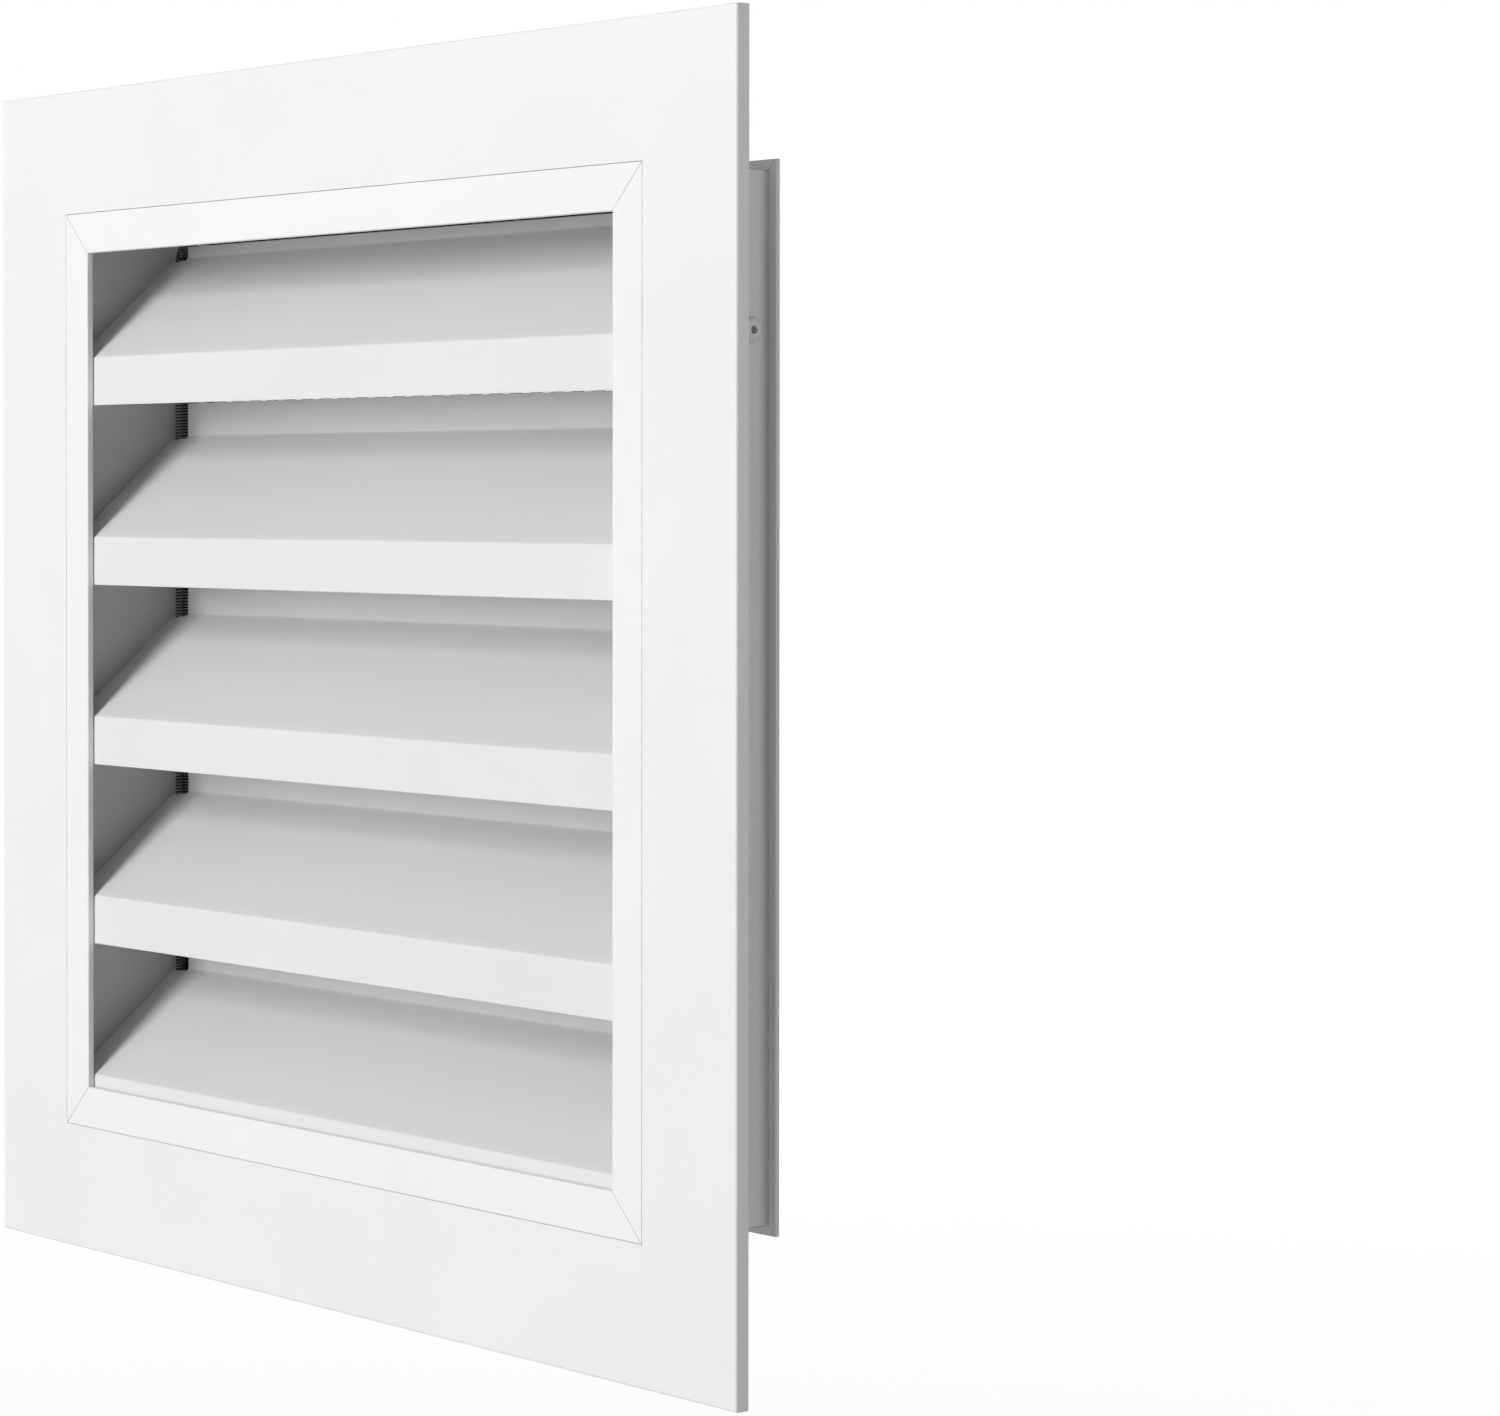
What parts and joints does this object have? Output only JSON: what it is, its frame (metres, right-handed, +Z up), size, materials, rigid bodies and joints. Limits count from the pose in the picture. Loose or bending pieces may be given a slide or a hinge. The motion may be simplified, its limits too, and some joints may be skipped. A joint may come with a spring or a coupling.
{
  "type": "gable vent",
  "caption": "Square louvred wall vent: flat face plate, sleeve with fixed sloping blades, black insect screen and mounting tabs behind.",
  "frame": {"origin": "centre of the sleeve in the wall plane, which is the back of the face plate's rim", "axes": "+Z up, +Y into the wall along the sleeve, +X to the right seen from outside"},
  "size_m": [0.387, 0.054, 0.387],
  "materials": {
    "plate_white": "satin moulded plastic, white",
    "sleeve_white": "satin white coat on aluminium",
    "louvre_white": "satin white coat on aluminium",
    "screen_black": "glossy black coat on expanded mesh",
    "tab_white": "satin white coat on steel strip",
    "rivet_grey": "satin light grey coat",
    "screw_grey": "satin light grey coat"
  },
  "bodies": {
    "root": {"face_plate": "plate_white", "insect_screen": "screen_black", "duct_rail_top": "sleeve_white", "duct_rail_bottom": "sleeve_white", "duct_rail_left": "sleeve_white", "duct_rail_right": "sleeve_white", "louvre_1": "louvre_white", "louvre_2": "louvre_white", "louvre_3": "louvre_white", "louvre_4": "louvre_white", "louvre_5": "louvre_white", "mounting_tab_left": "tab_white", "tab_rivet_left": "rivet_grey", "mounting_tab_right": "tab_white", "tab_rivet_right": "rivet_grey", "mounting_tab_bottom": "tab_white", "tab_rivet_bottom": "rivet_grey", "louvre_screws_left_front": "screw_grey", "louvre_screws_left_rear": "screw_grey", "louvre_screws_right_front": "screw_grey", "louvre_screws_right_rear": "screw_grey"}
  },
  "joints": []
}
